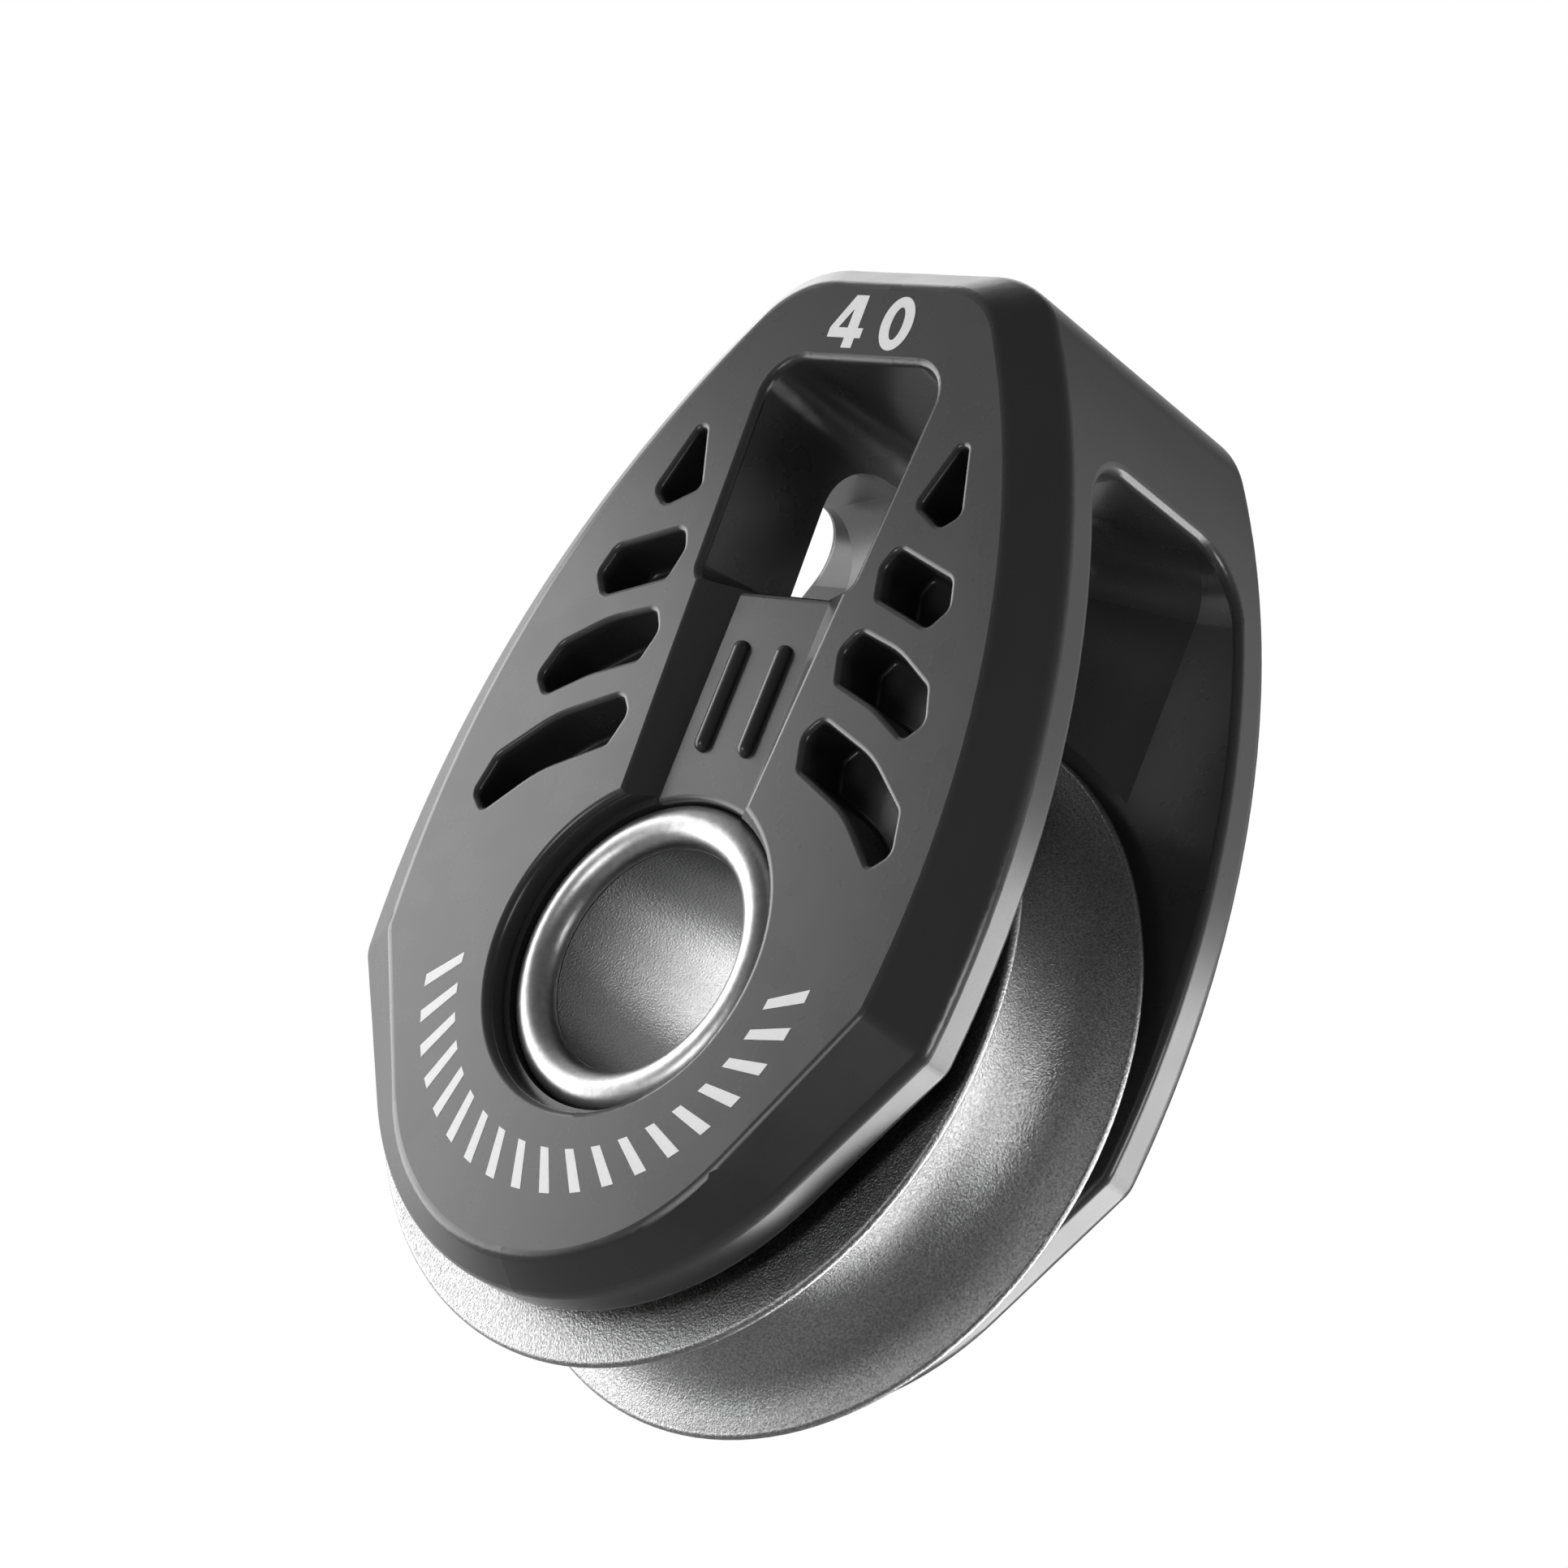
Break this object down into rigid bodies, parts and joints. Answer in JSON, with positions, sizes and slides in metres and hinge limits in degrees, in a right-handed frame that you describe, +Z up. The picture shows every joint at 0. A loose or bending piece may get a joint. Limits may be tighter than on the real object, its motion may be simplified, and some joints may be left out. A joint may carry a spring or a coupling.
{
  "type": "sailing block",
  "caption": "Single-sheave sailing block with a hollow hub and a lashing head, on a double-row ball bearing, for turning a rope under load.",
  "frame": {"origin": "centre of the hollow hub, on the sheave's axis and in the block's mid plane", "axes": "+Z up the long axis to the lashing head, Y along the sheave's axis with the front cheek facing -Y, +X to the right seen from the front"},
  "size_m": [0.0404, 0.0208, 0.0583],
  "materials": {
    "cheek_plastic": "satin fibre-filled moulding",
    "hub_metal": "fine bead-blasted",
    "ring_metal": "satin polished",
    "race_metal": "turned",
    "sheave_metal": "bead-blasted, clear anodised",
    "washer_plastic": "satin",
    "retainer_plastic": "satin",
    "ball_plastic": "polished"
  },
  "bodies": {
    "frame": {"cheek_frame": "cheek_plastic", "hub_tube": "hub_metal", "hub_end_ring_front": "ring_metal", "hub_end_ring_rear": "ring_metal", "inner_race": "race_metal", "thrust_washer_front": "washer_plastic", "thrust_washer_rear": "washer_plastic"},
    "sheave": {"sheave": "sheave_metal", "ball_retainer_front": "retainer_plastic", "ball_retainer_rear": "retainer_plastic"},
    "ball_row_front": {"ball_front_01": "ball_plastic", "ball_front_02": "ball_plastic", "ball_front_03": "ball_plastic", "ball_front_04": "ball_plastic", "ball_front_05": "ball_plastic", "ball_front_06": "ball_plastic", "ball_front_07": "ball_plastic", "ball_front_08": "ball_plastic", "ball_front_09": "ball_plastic", "ball_front_10": "ball_plastic", "ball_front_11": "ball_plastic", "ball_front_12": "ball_plastic", "ball_front_13": "ball_plastic", "ball_front_14": "ball_plastic", "ball_front_15": "ball_plastic", "ball_front_16": "ball_plastic", "ball_front_17": "ball_plastic", "ball_front_18": "ball_plastic"},
    "ball_row_rear": {"ball_rear_01": "ball_plastic", "ball_rear_02": "ball_plastic", "ball_rear_03": "ball_plastic", "ball_rear_04": "ball_plastic", "ball_rear_05": "ball_plastic", "ball_rear_06": "ball_plastic", "ball_rear_07": "ball_plastic", "ball_rear_08": "ball_plastic", "ball_rear_09": "ball_plastic", "ball_rear_10": "ball_plastic", "ball_rear_11": "ball_plastic", "ball_rear_12": "ball_plastic", "ball_rear_13": "ball_plastic", "ball_rear_14": "ball_plastic", "ball_rear_15": "ball_plastic", "ball_rear_16": "ball_plastic", "ball_rear_17": "ball_plastic", "ball_rear_18": "ball_plastic"}
  },
  "joints": [
    {"name": "sheave_spin", "type": "hinge", "parent": "frame", "child": "sheave", "pos_m": [0, 0, 0], "axis": [0, 1, 0], "continuous": true},
    {"name": "ball_row_front_orbit", "type": "hinge", "parent": "frame", "child": "ball_row_front", "pos_m": [0, 0, 0], "axis": [0, 1, 0], "continuous": true},
    {"name": "ball_row_rear_orbit", "type": "hinge", "parent": "frame", "child": "ball_row_rear", "pos_m": [0, 0, 0], "axis": [0, 1, 0], "continuous": true}
  ],
  "couplings": [
    {"joint": "ball_row_front_orbit", "follows": "sheave_spin", "ratio": 0.5818},
    {"joint": "ball_row_rear_orbit", "follows": "sheave_spin", "ratio": 0.5818}
  ]
}
